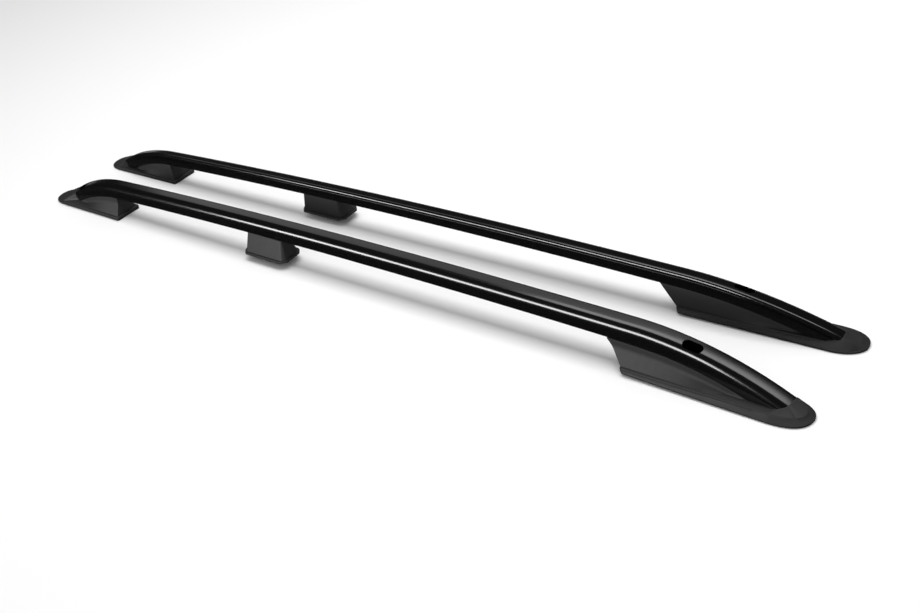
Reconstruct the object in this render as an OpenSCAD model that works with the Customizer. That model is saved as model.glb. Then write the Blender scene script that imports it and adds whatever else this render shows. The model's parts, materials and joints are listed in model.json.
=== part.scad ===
/* [Pair] */
// Length of each rail from the rear tip to the nose
rail_length = 1795; // [1500:5:2100]
// Distance between the centre lines of the two rails
rail_spacing = 156; // [130:1:1100]

/* [Tube] */
// Height of the tube's underside above the floor at the top of its crown
tube_clearance = 50; // [42:1:64]
// Thickness of the tube's wall
tube_wall = 2.4; // [1.6:0.1:3]
// Radius of the long crown that follows the roof
crown_r = 21000; // [14000:500:40000]
// Radius of the bend down to the nose
front_bend_r = 600; // [560:5:640]
// Length of the front bend, measured along the rail
front_bend_len = 275; // [265:1:285]
// Radius of the bend down to the rear tip
rear_bend_r = 430; // [400:5:460]
// Length of the rear bend, measured along the rail
rear_bend_len = 265; // [258:1:272]

/* [Feet] */
// Width of the rear foot and of its gasket
foot_w = 58; // [54:1:62]
// Length of the rear foot
rear_foot_len = 269; // [262:1:276]
// Length of the middle foot's base
mid_foot_len = 116; // [100:1:130]
// Width of the middle foot's base
mid_foot_w = 52; // [46:1:56]
// Height of the middle foot's base above the floor
mid_foot_lift = 12.5; // [8:0.5:16]
// Length of the front foot's base
front_foot_len = 284; // [278:1:290]
// Wall thickness of the moulded feet
foot_wall = 3; // [2.2:0.1:3.6]
// Thickness of the rubber gaskets
gasket_t = 3; // [2:0.5:4]

/* [Fixings] */
// Length of the oval bolt slots in the tube's top
slot_len = 31; // [24:1:34]
// Width of the oval bolt slots
slot_w = 15; // [12:0.5:16]
// Bore of the steel sleeves that the roof bolts pass through
sleeve_bore = 9; // [8.4:0.1:10]
// Outer diameter of the steel sleeves
sleeve_d = 14; // [13:0.5:16]
// Diameter of the screws that hold the feet to the tube
screw_d = 6; // [5:0.5:6.5]

/* [Hidden] */

base_y = rail_spacing / 2;
apex_x = 0.535 * rail_length;
front_bend_x = rail_length - front_bend_len;

// Section of the tube, outward in x and up in y, from the middle of the foot's base
tube_shift = -2;
corner_c = [5.5 + tube_shift, 3];
corner_r = 3;
crease_c = [2.5 + tube_shift, 14.5];
crease_r = 6;
shoulder_c = [-16.3 + tube_shift, 25.8];
shoulder_r = 5;
top_r = 30;
inner_face = -20.8 + tube_shift;
groove_deep = 1.5;
lip_h = 24.5;
groove_h = 21.7;
heel_h = 6.2;
flat_in = -12 + tube_shift;
flat_out = corner_c[0];

// Lean of each bend's plane, so that the tube's ends stand over their feet
front_tilt = 13;
rear_tilt = 5;

// Levels of the feet
rear_flange_top = gasket_t + 5;
front_flange_top = gasket_t + 7.5;
mid_lip_top = mid_foot_lift + 4.5;
front_lift_x = rail_length - 195;
front_lift_deg = 2.2;

function unit(v) = v / norm(v);
function angle_of(v) = atan2(v[1], v[0]);

// Centre of the top's wide arc, which touches the crease and the shoulder from inside
gap = norm(shoulder_c - crease_c);
reach_a = top_r - crease_r;
reach_b = top_r - shoulder_r;
ahead = (reach_a * reach_a - reach_b * reach_b + gap * gap) / (2 * gap);
away = sqrt(reach_a * reach_a - ahead * ahead);
chord = unit(shoulder_c - crease_c);
top_c = crease_c + chord * ahead - [chord[1], -chord[0]] * away;
crease_end = angle_of(crease_c - top_c);
shoulder_start = angle_of(shoulder_c - top_c);

function arc(c, r, a0, a1, n) = [for (i = [0 : n]) c + r * [cos(a0 + (a1 - a0) * i / n), sin(a0 + (a1 - a0) * i / n)]];

function rounded_side(inset) = concat(
    arc(corner_c, corner_r - inset, -90, 0, 2),
    arc(crease_c, crease_r - inset, 0, crease_end, 4),
    [for (i = [1 : 5]) arc(top_c, top_r - inset, crease_end, shoulder_start, 6)[i]],
    arc(shoulder_c, shoulder_r - inset, shoulder_start, 180, 6)
);

outer_section = concat(rounded_side(0), [
    [inner_face - 0.5, lip_h],
    [inner_face + groove_deep, lip_h],
    [inner_face + groove_deep, groove_h],
    [inner_face, groove_h],
    [inner_face, heel_h],
    [flat_in, 0]
]);

bare_face = inner_face + groove_deep + tube_wall;
inner_section = concat(rounded_side(tube_wall), [
    [bare_face, lip_h],
    [bare_face, lip_h - 1],
    [bare_face, groove_h],
    [bare_face, groove_h - 1],
    [bare_face, heel_h + 1],
    [flat_in + 0.8, tube_wall]
]);

// A frame is a point and a turn; the rail's line is walked from the crown's top both ways
function roll(a) = [[1, 0, 0], [0, cos(a), -sin(a)], [0, sin(a), cos(a)]];
function pitch(a) = [[cos(a), 0, sin(a)], [0, 1, 0], [-sin(a), 0, cos(a)]];
function bend(f, r, a, tilt) =
    let (m = f[1] * roll(tilt))
    [f[0] + m * [r * sin(a), 0, -r * (1 - cos(a))], m * pitch(a) * roll(-tilt)];

apex = [[apex_x, base_y, tube_clearance], pitch(0)];
crown_front = asin((front_bend_x - apex_x) / crown_r);
crown_rear = asin((apex_x - rear_bend_len) / crown_r);
front_bend_deg = 24.5;
rear_bend_deg = 33;

function crown(a) = bend(apex, crown_r, a, 0);
function front(a) = bend(crown(crown_front), front_bend_r, a, front_tilt);
function rear(a) = bend(crown(-crown_rear), rear_bend_r, -a, rear_tilt);

function rear_stations(from, to, n) = [for (i = [0 : n]) rear(from + (to - from) * i / n)];
function crown_stations(from, to, n) = [for (i = [0 : n]) crown(from + (to - from) * i / n)];
function front_stations(from, to, n) = [for (i = [0 : n]) front(from + (to - from) * i / n)];
function inside_of(list) = [for (i = [1 : len(list) - 2]) list[i]];

rail_line = concat(
    rear_stations(rear_bend_deg, 0, 10),
    inside_of(crown_stations(-crown_rear, crown_front, 12)),
    front_stations(0, front_bend_deg, 9)
);

function place(f, p) = f[0] + f[1] * [0, p[0], p[1]];

module at(f) {
    m = f[1];
    multmatrix([
        [m[0][0], m[0][1], m[0][2], f[0][0]],
        [m[1][0], m[1][1], m[1][2], f[0][1]],
        [m[2][0], m[2][1], m[2][2], f[0][2]],
        [0, 0, 0, 1]
    ]) children();
}

// Two triangles across each four-cornered patch between ring i and ring i + 1
function skin(rings, n, start, flip) = [
    for (i = [0 : rings - 2], j = [0 : n - 1], half = [0, 1])
        let (
            a = start + i * n + j,
            b = start + i * n + (j + 1) % n,
            c = a + n,
            d = b + n,
            t = half == 0 ? [a, b, d] : [a, d, c]
        )
        flip ? [t[2], t[1], t[0]] : t
];

function ring_cap(outer_start, inner_start, n, flip) = [
    for (j = [0 : n - 1], half = [0, 1])
        let (
            k = (j + 1) % n,
            t = half == 0
                ? [outer_start + j, inner_start + j, inner_start + k]
                : [outer_start + j, inner_start + k, outer_start + k]
        )
        flip ? [t[2], t[1], t[0]] : t
];

module hollow_sweep(line, outer, inner) {
    n = len(outer);
    r = len(line);
    points = concat(
        [for (f = line, p = outer) place(f, p)],
        [for (f = line, p = inner) place(f, p)]
    );
    faces = concat(
        skin(r, n, 0, true),
        skin(r, n, r * n, false),
        ring_cap(0, r * n, n, true),
        ring_cap((r - 1) * n, (2 * r - 1) * n, n, false)
    );
    polyhedron(points = points, faces = faces);
}

module solid_sweep(sections) {
    n = len(sections[0]);
    r = len(sections);
    faces = concat(
        skin(r, n, 0, true),
        [[for (j = [0 : n - 1]) j]],
        [[for (j = [n - 1 : -1 : 0]) (r - 1) * n + j]]
    );
    polyhedron(points = [for (s = sections, p = s) p], faces = faces);
}

// Rings of the tube that reach past both ends of a stretch of the rail
function ring_before(x) = max([0, for (i = [0 : len(rail_line) - 1]) if (rail_line[i][0][0] < x) i]);
function ring_after(x) = min([len(rail_line) - 1, for (i = [0 : len(rail_line) - 1]) if (rail_line[i][0][0] > x) i]);
function rings(x0, x1) = [for (i = [ring_before(x0) : ring_after(x1)]) rail_line[i]];

// Only the lower part of the section touches a foot, so a foot is cut with a plainer shape
seat_section = concat([for (i = [0 : 4]) rounded_side(0)[i]], [
    [crease_c[0] + crease_r, 60],
    [inner_face, 60],
    [inner_face, heel_h],
    [flat_in, 0]
]);

function sweep_rings(x0, x1, section) = [for (f = rings(x0, x1)) [for (p = section) place(f, p)]];

module below(x0, x1, z) {
    translate([x0, 0, z - 120]) cube([x1 - x0, 2 * base_y, 120]);
}

// Room for the tube in a foot, above the level that the foot seats it on
module tube_space(x0, x1, seat) {
    difference() {
        solid_sweep(sweep_rings(x0, x1, seat_section));
        below(x0 - 400, x1 + 400, seat);
    }
}

// The frame at a distance along the rail
function rail_at(x) = x < rear_bend_len
    ? rear(asin((rear_bend_len - x) / rear_bend_r))
    : x > front_bend_x
        ? front(asin((x - front_bend_x) / front_bend_r))
        : crown(asin((x - apex_x) / crown_r));

// Where the fixings stand
front_rear_x = rail_length - front_foot_len;
slot_side = -5 + tube_shift;
front_slot_frame = front(9.4);
rear_slot_frame = rear(20.6);
rear_screw_frames = [for (d = [34, 86]) rail_at(rear_foot_len - d)];
front_screw_frames = [for (d = [15, 58]) rail_at(front_rear_x + d)];
mid_foot_x = 0.408 * rail_length;
screw_pitch = 44;
mid_screw_frames = [for (s = [-1, 1]) crown(asin((mid_foot_x + s * screw_pitch / 2 - apex_x) / crown_r))];
boss_len = 14;
head_h = 3.5;
head_d = 2 * screw_d;
nut_d = 9;
nut_flange_d = 13;
nut_flange_t = 1;
nut_gap = 0.25;
nut_len = 12;
sleeve_foot = 0.5;
pedestal_top = rear_flange_top + 4;

function stand(f) = place(f, [slot_side, 0]);

module oval(len, width, h) {
    for (s = [-1, 1]) translate([s * (len - width) / 2, 0, 0]) cylinder(d = width, h = h, $fn = 48);
    translate([-(len - width) / 2, -width / 2, 0]) cube([len - width, width, h]);
}

module tube() {
    front_stand = stand(front_slot_frame);
    rear_stand = stand(rear_slot_frame);
    color([0.05, 0.05, 0.055]) difference() {
        hollow_sweep(rail_line, outer_section, inner_section);
        below(-60, rear_bend_len, rear_flange_top);
        below(front_bend_x, rail_length + 60, front_flange_top);
        translate([front_stand[0], front_stand[1], front_stand[2] + 6]) oval(slot_len, slot_w, 60);
        translate([rear_stand[0], rear_stand[1], pedestal_top]) oval(slot_len, slot_w, 60);
        translate([front_stand[0], front_stand[1], 0]) cylinder(r = 5.5, h = 60, $fn = 48);
        translate([rear_stand[0], rear_stand[1], 0]) cylinder(r = 9.6, h = pedestal_top + 2, $fn = 48);
        for (f = concat(rear_screw_frames, mid_screw_frames, front_screw_frames)) {
            at(f) translate([0, flat_in / 2, -3]) cylinder(d = nut_d, h = 8, $fn = 32);
        }
    }
}

// Plan outlines of the end feet: a half ellipse at the rear, a blunt rounded nose at the front
rear_tip_len = 80;
nose_len = 55;
nose_shift = 3;
front_w = 57;
front_flare = 6;

function rear_half(x) = x > rear_tip_len
    ? foot_w / 2
    : foot_w / 2 * sqrt(max(0, 1 - pow((rear_tip_len - x) / rear_tip_len, 2)));

function rear_outline(inset) = concat(
    [[rear_foot_len - inset, foot_w / 2 - inset]],
    [for (t = [0 : 9 : 180]) [
        rear_tip_len - (rear_tip_len - inset) * sin(t),
        (foot_w / 2 - inset) * cos(t)
    ]],
    [[rear_foot_len - inset, inset - foot_w / 2]]
);

nose_x = rail_length - nose_len;
nose_half = (front_w + front_flare) / 2;
function front_half(x) = front_w / 2 + front_flare / 2 * (x - front_rear_x) / (nose_x - front_rear_x);
function blunt(s) = sign(s) * pow(abs(s), 0.8);

function front_outline(inset) = concat(
    [
        [front_rear_x + inset + 3, front_w / 2 - inset],
        [front_rear_x + inset, front_w / 2 - inset - 3],
        [front_rear_x + inset, inset + 3 - front_w / 2],
        [front_rear_x + inset + 3, inset - front_w / 2]
    ],
    [for (t = [-90 : 10 : 90]) [
        nose_x + (nose_len - inset) * blunt(cos(t)),
        nose_shift + (nose_half - inset) * blunt(sin(t))
    ]]
);

module on_line() {
    translate([0, base_y, 0]) children();
}

module screw_hole(f) {
    at(f) translate([0, flat_in / 2, -boss_len - 30]) cylinder(d = screw_d + 0.5, h = boss_len + 31, $fn = 32);
    at(f) translate([0, flat_in / 2, -nut_gap - nut_flange_t])
        cylinder(d = nut_flange_d + 0.4, h = nut_flange_t + 1, $fn = 32);
    at(f) translate([0, flat_in / 2, -boss_len - 30]) cylinder(d = head_d + 2, h = 30, $fn = 32);
}

module boss(f) {
    at(f) translate([0, flat_in / 2, -boss_len]) cylinder(d = 16, h = boss_len + 1, $fn = 32);
}

// One section of an end foot: flared walls below, a steeper shoulder against the tube above
function foot_section(f, half, middle, floor_z, rim, inset) =
    let (
        o = place(f, [crease_c[0] + crease_r + 0.8 - inset, rim]),
        i = place(f, [flat_in - 1.5 + inset, 6]),
        mo = place(f, [crease_c[0] + crease_r + 2.8 - inset, rim - 13]),
        mi = place(f, [flat_in - 5.5 + inset, -9]),
        low = floor_z + 0.5
    )
    [
        [f[0][0], base_y + middle + half - inset, floor_z],
        [f[0][0], min(mo[1], base_y + middle + half - inset - 1), max(mo[2], low)],
        [f[0][0], min(o[1], base_y + middle + half - inset - 2), max(o[2], low + 0.3)],
        [f[0][0], max(i[1], base_y + middle - half + inset + 2), max(i[2], low + 0.3)],
        [f[0][0], max(mi[1], base_y + middle - half + inset + 1), max(mi[2], low)],
        [f[0][0], base_y + middle - half + inset, floor_z]
    ];

ledge = 4.5;
function rim_of(x) = 1.5 + 7 * max(0, 1 - x / rear_foot_len);
rear_body_x = 45;
rear_body_frames = [for (i = [0 : 11]) rail_at(rear_body_x + i * (rear_foot_len + 7 - rear_body_x) / 11)];
rear_cavity_frames = [for (i = [0 : 8]) rail_at(85 + i * (rear_foot_len + 9 - 85) / 8)];
rear_hollow_x = 0.49 * rear_foot_len;
function rear_body(frames, inset, floor_z) = [
    for (f = frames)
        foot_section(f, rear_half(f[0][0]) - ledge, 0, floor_z, rim_of(f[0][0]), inset)
];

module rear_cavity() {
    difference() {
        union() {
            difference() {
                solid_sweep(rear_body(rear_cavity_frames, foot_wall, gasket_t - 1));
                cube([rear_hollow_x, 2 * base_y, 80]);
            }
            on_line() translate([0, 0, gasket_t - 1]) linear_extrude(2.5) polygon(rear_outline(9));
        }
        translate([0, 0, -foot_wall]) tube_space(0, rear_foot_len, rear_flange_top);
        translate([rear_foot_len - ledge - foot_wall, 0, 0]) cube([60, 2 * base_y, 80]);
        for (k = [0.33, 0.56, 0.77]) translate([k * rear_foot_len, 0, gasket_t + 2]) cube([2.2, 2 * base_y, 80]);
        translate([60, base_y - 1.1, gasket_t + 2]) cube([rear_foot_len, 2.2, 80]);
        for (f = rear_screw_frames) boss(f);
    }
}

module rear_foot() {
    s = stand(rear_slot_frame);
    color([0.13, 0.13, 0.135]) difference() {
        union() {
            difference() {
                union() {
                    on_line() translate([0, 0, gasket_t]) linear_extrude(rear_flange_top - gasket_t)
                        polygon(rear_outline(0));
                    difference() {
                        solid_sweep(rear_body(rear_body_frames, 0, rear_flange_top - 1));
                        translate([rear_foot_len - 2, 0, rear_flange_top]) rotate([0, -12, 0])
                            translate([0, 0, -20]) cube([60, 2 * base_y, 100]);
                    }
                }
                tube_space(0, rear_foot_len, rear_flange_top);
                rear_cavity();
            }
            translate([s[0], s[1], gasket_t]) cylinder(r = 9.4, h = pedestal_top - gasket_t, $fn = 48);
        }
        translate([s[0], s[1], 0]) cylinder(d = sleeve_d, h = 60, $fn = 48);
        for (f = rear_screw_frames) screw_hole(f);
    }
}

module rear_gasket() {
    color([0.07, 0.07, 0.07]) on_line() linear_extrude(gasket_t) difference() {
        polygon(rear_outline(0.8));
        polygon(rear_outline(8));
    }
}

module sleeve(f, top) {
    s = stand(f);
    color([0.72, 0.73, 0.75]) translate([s[0], s[1], sleeve_foot]) difference() {
        cylinder(d = sleeve_d, h = top - sleeve_foot, $fn = 64);
        translate([0, 0, -1]) cylinder(d = sleeve_bore, h = top + 2, $fn = 64);
    }
}

module screws(frames) {
    color([0.7, 0.71, 0.73]) for (f = frames) at(f) translate([0, flat_in / 2, 0]) {
        translate([0, 0, -boss_len]) cylinder(d = screw_d, h = boss_len + nut_len - 2, $fn = 32);
        difference() {
            translate([0, 0, -boss_len - head_h]) cylinder(d = head_d, h = head_h, $fn = 32);
            translate([0, 0, -boss_len - head_h - 1]) cylinder(r = 2.3, h = 3, $fn = 6);
        }
    }
}

module nuts(frames) {
    color([0.75, 0.7, 0.5]) for (f = frames) at(f) translate([0, flat_in / 2, 0]) difference() {
        union() {
            translate([0, 0, -nut_gap - nut_flange_t]) cylinder(d = nut_flange_d, h = nut_flange_t, $fn = 32);
            translate([0, 0, -nut_gap - nut_flange_t]) cylinder(d = nut_d - 0.4, h = nut_len + nut_flange_t, $fn = 32);
        }
        translate([0, 0, -nut_gap - nut_flange_t - 1]) cylinder(d = screw_d, h = nut_len + 3, $fn = 32);
    }
}

// The middle foot: a four-sided flared box with its corners cut, under the tube's crown
function cut_corners(len, w0, w1, cut) = [
    [-len / 2, w0 + cut], [-len / 2 + cut, w0], [len / 2 - cut, w0], [len / 2, w0 + cut],
    [len / 2, w1 - cut], [len / 2 - cut, w1], [-len / 2 + cut, w1], [-len / 2, w1 - cut]
];

module mid_body(inset) {
    half = mid_foot_w / 2 - 3.5 - inset;
    hull() {
        translate([0, 0, mid_foot_lift + 1]) linear_extrude(0.5)
            polygon(cut_corners(mid_foot_len - 5 - 2 * inset, -half, half, 7));
        translate([0, 0, tube_clearance + 2]) linear_extrude(0.5)
            polygon(cut_corners(mid_foot_len - 21 - 2 * inset, flat_in - 0.5 + inset, flat_out + 3 - inset, 3));
    }
}

module mid_foot() {
    x0 = mid_foot_x - mid_foot_len / 2;
    x1 = mid_foot_x + mid_foot_len / 2;
    color([0.15, 0.15, 0.155]) difference() {
        translate([mid_foot_x, base_y, 0]) {
            translate([0, 0, mid_foot_lift]) linear_extrude(mid_lip_top - mid_foot_lift - 1)
                polygon(cut_corners(mid_foot_len, -mid_foot_w / 2, mid_foot_w / 2, 10));
            translate([0, 0, mid_foot_lift]) linear_extrude(mid_lip_top - mid_foot_lift)
                polygon(cut_corners(mid_foot_len - 2, 1 - mid_foot_w / 2, mid_foot_w / 2 - 1, 9));
            mid_body(0);
        }
        tube_space(x0, x1, 0);
        difference() {
            translate([mid_foot_x, base_y, -2]) mid_body(foot_wall);
            translate([0, 0, -foot_wall]) tube_space(x0, x1, 0);
            for (s = [-1, 0, 1]) translate([mid_foot_x + s * 36 - 1.1, 0, mid_foot_lift + 2])
                cube([2.2, 2 * base_y, 80]);
            for (f = mid_screw_frames) boss(f);
        }
        for (f = mid_screw_frames) screw_hole(f);
    }
}

// The front foot: a long tapering wall under the bend, with a nose that holds the tube's end
front_body_frames = [for (i = [0 : 11]) rail_at(front_rear_x - 34 + i * (front_foot_len - 26) / 11)];
function lift(x) = max(0, (front_lift_x - x) * tan(front_lift_deg));
function front_body(inset, drop) = [
    for (f = front_body_frames)
        foot_section(
            f, front_half(f[0][0]) - ledge, nose_shift * max(0, (f[0][0] - front_rear_x) / front_foot_len),
            front_flange_top + lift(f[0][0]) - drop, 1.5, inset
        )
];

module lifted_slab(z0, z1, nose_drop = 0) {
    x0 = front_rear_x - 60;
    x1 = rail_length + 10;
    rise = lift(x0);
    translate([0, 2 * base_y, 0]) rotate([90, 0, 0]) linear_extrude(2 * base_y) polygon([
        [x0, z0 + rise], [front_lift_x, z0], [x1, z0],
        [x1, z1 - nose_drop], [nose_x, z1], [front_lift_x, z1], [x0, z1 + rise]
    ]);
}

module nose() {
    near_end = front(front_bend_deg - 0.9);
    grown = concat(rounded_side(-1.6), [[inner_face - 1.8, lip_h], [inner_face - 1.8, heel_h]]);
    hull() {
        solid_sweep([
            for (f = [near_end, front(front_bend_deg - 0.85)]) [
                for (p = grown)
                    let (q = place(f, p))
                    [q[0], q[1], max(q[2], front_flange_top - 1)]
            ]
        ]);
        on_line() translate([0, 0, gasket_t + 0.5]) linear_extrude(1)
            polygon([for (p = front_outline(1)) if (p[0] > nose_x - 1) p]);
        on_line() translate([0, 0, front_flange_top - 1.2]) linear_extrude(0.4)
            polygon([for (p = front_outline(6)) if (p[0] > nose_x - 1) p]);
    }
}

module front_cavity() {
    s = stand(front_slot_frame);
    difference() {
        union() {
            solid_sweep(front_body(foot_wall, 12));
            on_line() linear_extrude(front_flange_top - 4) polygon(front_outline(9));
        }
        translate([0, 0, -foot_wall]) tube_space(front_rear_x - 40, rail_length, front_flange_top);
        translate([nose_x - 12, 0, 0]) cube([120, 2 * base_y, 80]);
        for (k = [0.34, 0.56, 0.72]) translate([front_rear_x + k * front_foot_len, 0, gasket_t + 6])
            cube([2.2, 2 * base_y, 80]);
        translate([0, base_y - 1.1, gasket_t + 2]) cube([nose_x, 2.2, 80]);
        translate([s[0], s[1], gasket_t]) cylinder(d = sleeve_d + 7, h = 60, $fn = 48);
        for (f = front_screw_frames) boss(f);
    }
}

module raked_end(shift) {
    translate([front_rear_x - 1 + shift, 0, front_flange_top + lift(front_rear_x)]) rotate([0, -37, 0])
        translate([-120, 0, 0]) cube([120, 2 * base_y, 90]);
}

module front_foot() {
    s = stand(front_slot_frame);
    color([0.12, 0.12, 0.125]) difference() {
        union() {
            intersection() {
                on_line() linear_extrude(60) polygon(front_outline(0));
                lifted_slab(gasket_t, front_flange_top - 1, 4);
            }
            intersection() {
                on_line() linear_extrude(60) polygon(front_outline(1));
                lifted_slab(gasket_t, front_flange_top, 4);
            }
            solid_sweep(front_body(0, 1));
            nose();
        }
        tube_space(front_rear_x - 40, rail_length, front_flange_top);
        difference() {
            front_cavity();
            raked_end(foot_wall + 1);
        }
        raked_end(0);
        translate([s[0], s[1], 0]) cylinder(d = sleeve_d, h = 60, $fn = 48);
        for (f = front_screw_frames) screw_hole(f);
    }
}

module front_gasket() {
    color([0.07, 0.07, 0.07]) intersection() {
        on_line() linear_extrude(60) difference() {
            polygon(front_outline(0.8));
            polygon(front_outline(8));
        }
        lifted_slab(0, gasket_t);
    }
}

front_sleeve_top = stand(front_slot_frame)[2] - 1.7;

// The origin is on the floor, midway between the rails and midway along them
module left() {
    translate([-rail_length / 2, 0, 0]) children();
}

module right() {
    translate([-rail_length / 2, 0, 0]) mirror([0, 1, 0]) children();
}

left() tube();  // left_tube
left() rear_foot();  // left_rear_foot
left() rear_gasket();  // left_rear_gasket
left() sleeve(rear_slot_frame, pedestal_top);  // left_rear_sleeve
left() screws(rear_screw_frames);  // left_rear_screws
left() nuts(rear_screw_frames);  // left_rear_nuts
left() mid_foot();  // left_mid_foot
left() screws(mid_screw_frames);  // left_mid_screws
left() nuts(mid_screw_frames);  // left_mid_nuts
left() front_foot();  // left_front_foot
left() front_gasket();  // left_front_gasket
left() sleeve(front_slot_frame, front_sleeve_top);  // left_front_sleeve
left() screws(front_screw_frames);  // left_front_screws
left() nuts(front_screw_frames);  // left_front_nuts
right() tube();  // right_tube
right() rear_foot();  // right_rear_foot
right() rear_gasket();  // right_rear_gasket
right() sleeve(rear_slot_frame, pedestal_top);  // right_rear_sleeve
right() screws(rear_screw_frames);  // right_rear_screws
right() nuts(rear_screw_frames);  // right_rear_nuts
right() mid_foot();  // right_mid_foot
right() screws(mid_screw_frames);  // right_mid_screws
right() nuts(mid_screw_frames);  // right_mid_nuts
right() front_foot();  // right_front_foot
right() front_gasket();  // right_front_gasket
right() sleeve(front_slot_frame, front_sleeve_top);  // right_front_sleeve
right() screws(front_screw_frames);  // right_front_screws
right() nuts(front_screw_frames);  // right_front_nuts
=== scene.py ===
"""Looks for a pair of roof side rails.

Each rail is a bent hollow tube on three moulded feet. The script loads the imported
frame, builds smooth outer pieces that stand for the faceted ones, gives every piece
a procedural material, and sets the stage, lights and camera.
"""

import json
import math

import bmesh
import bpy
import numpy as np
from bpy.props import FloatProperty, FloatVectorProperty, IntProperty, PointerProperty
from mathutils import Euler, Matrix

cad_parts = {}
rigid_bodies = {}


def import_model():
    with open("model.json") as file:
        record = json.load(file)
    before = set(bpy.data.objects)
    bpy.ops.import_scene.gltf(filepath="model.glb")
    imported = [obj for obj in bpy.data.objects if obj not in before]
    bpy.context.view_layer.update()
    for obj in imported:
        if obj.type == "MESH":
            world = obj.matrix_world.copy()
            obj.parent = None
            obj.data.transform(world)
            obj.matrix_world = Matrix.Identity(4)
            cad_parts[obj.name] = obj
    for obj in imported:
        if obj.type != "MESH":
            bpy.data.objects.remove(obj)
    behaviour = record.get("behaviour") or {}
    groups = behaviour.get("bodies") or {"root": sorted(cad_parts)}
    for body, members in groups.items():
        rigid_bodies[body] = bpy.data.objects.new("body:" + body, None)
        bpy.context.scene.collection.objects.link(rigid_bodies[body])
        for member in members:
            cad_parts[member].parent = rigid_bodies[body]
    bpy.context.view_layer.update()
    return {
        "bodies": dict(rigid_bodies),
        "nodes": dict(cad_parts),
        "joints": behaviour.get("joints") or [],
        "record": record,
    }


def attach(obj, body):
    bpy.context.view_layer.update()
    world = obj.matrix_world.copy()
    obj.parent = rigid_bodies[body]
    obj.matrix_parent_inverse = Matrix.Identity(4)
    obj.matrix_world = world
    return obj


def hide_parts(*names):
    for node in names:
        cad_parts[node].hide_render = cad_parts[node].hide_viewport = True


bl_info = {
    "name": "Roof Side Rail Pair",
    "version": (1, 0, 0),
    "blender": (4, 5, 0),
    "location": "View3D > Sidebar > Rails",
    "description": "Builds a pair of roof side rails with a studio stage",
    "category": "Add Mesh",
}

MM = 0.001
SHARP_DEG, WALL_SHARP_DEG = 32.0, 38.0


# Settings


def millimetres(name, description, default, low, high):
    text = f"{description}, in millimetres"
    return FloatProperty(name=name, description=text, default=default, min=low, max=high)


def watts(name, description, default):
    text = f"{description}, in watts"
    return FloatProperty(name=name, description=text, default=default, min=0.0, max=500.0, unit="POWER")


def colour(name, description, default):
    return FloatVectorProperty(
        name=name, description=description, default=default, min=0.0, max=1.0, subtype="COLOR"
    )


class RailSettings(bpy.types.PropertyGroup):
    """Sizes of one rail's tube and of the line that it follows."""

    length: millimetres("Length", "Length of a rail from tip to tip", 1795.0, 1200.0, 2400.0)
    spacing: millimetres(
        "Spacing", "Distance between the middles of the two rails' feet", 156.0, 120.0, 1400.0
    )
    clearance: millimetres(
        "Clearance", "Height of the tube's underside over the floor at its highest", 50.0, 40.0, 80.0
    )
    wall: millimetres("Wall", "Thickness of the tube's wall", 2.4, 1.5, 4.0)
    crown_radius: millimetres("Crown radius", "Radius of the long shallow bend", 21000.0, 8000.0, 60000.0)
    front_radius: millimetres("Front radius", "Radius of the front bend", 600.0, 450.0, 800.0)
    rear_radius: millimetres("Rear radius", "Radius of the rear bend", 430.0, 350.0, 600.0)
    stations: IntProperty(
        name="Stations",
        description="How many rings the tube has for every degree of bend",
        default=4,
        min=1,
        max=8,
    )


class FootSettings(bpy.types.PropertyGroup):
    """Sizes of the moulded feet."""

    gasket: millimetres("Gasket", "Thickness of the rubber under an end foot", 3.0, 2.0, 5.0)
    rear_width: millimetres("Rear width", "Width of the rear foot's base", 58.0, 50.0, 70.0)
    rear_length: millimetres("Rear length", "Length of the rear foot's base", 269.0, 220.0, 320.0)
    front_length: millimetres("Front length", "Length of the front foot's base", 284.0, 240.0, 330.0)
    mid_length: millimetres("Middle length", "Length of the middle foot's base", 116.0, 90.0, 140.0)
    mid_width: millimetres("Middle width", "Width of the middle foot's base", 52.0, 44.0, 64.0)
    mid_lift: millimetres("Middle lift", "Height of the middle foot's base over the floor", 12.5, 0.0, 20.0)
    spin_seed: IntProperty(
        name="Spin seed",
        description="Seed for how far each screw is turned about its own line",
        default=7,
        min=0,
        max=1000,
    )


class LookSettings(bpy.types.PropertyGroup):
    """Colours of the five materials, each named after its slot."""

    tube_paint: colour("Tube paint", "Colour of the tubes", (0.004, 0.004, 0.0042))
    foot_plastic: colour("Foot plastic", "Colour of the feet", (0.023, 0.023, 0.024))
    gasket_rubber: colour("Gasket rubber", "Colour of the rings under the end feet", (0.012, 0.012, 0.012))
    zinc_steel: colour("Zinc steel", "Colour of the screws and sleeves", (0.72, 0.73, 0.75))
    plated_insert: colour("Plated insert", "Colour of the threaded inserts", (0.62, 0.56, 0.4))


class StageSettings(bpy.types.PropertyGroup):
    """Camera and light."""

    focal: FloatProperty(
        name="Focal length",
        description="Lens of the camera, in millimetres on a 36 mm sensor",
        default=45.49,
        min=20.0,
        max=120.0,
        unit="CAMERA",
    )
    key_power: watts("Key power", "Power of the large light overhead", 60.0)
    strip_power: watts("Strip power", "Power of the long light that draws the ridge", 100.0)
    back_power: watts("Back power", "Power of the soft light that the tubes' tops reflect", 6.5)


def rail_settings():
    return bpy.context.scene.rail_settings


def foot_settings():
    return bpy.context.scene.foot_settings


def look_settings():
    return bpy.context.scene.look_settings


def stage_settings():
    return bpy.context.scene.stage_settings


# The line that a rail follows, as frames of a point and a turn


def roll(deg):
    a = math.radians(deg)
    return np.array([[1, 0, 0], [0, math.cos(a), -math.sin(a)], [0, math.sin(a), math.cos(a)]])


def pitch(deg):
    a = math.radians(deg)
    return np.array([[math.cos(a), 0, math.sin(a)], [0, 1, 0], [-math.sin(a), 0, math.cos(a)]])


def yaw(deg):
    a = math.radians(deg)
    return np.array([[math.cos(a), -math.sin(a), 0], [math.sin(a), math.cos(a), 0], [0, 0, 1]])


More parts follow.
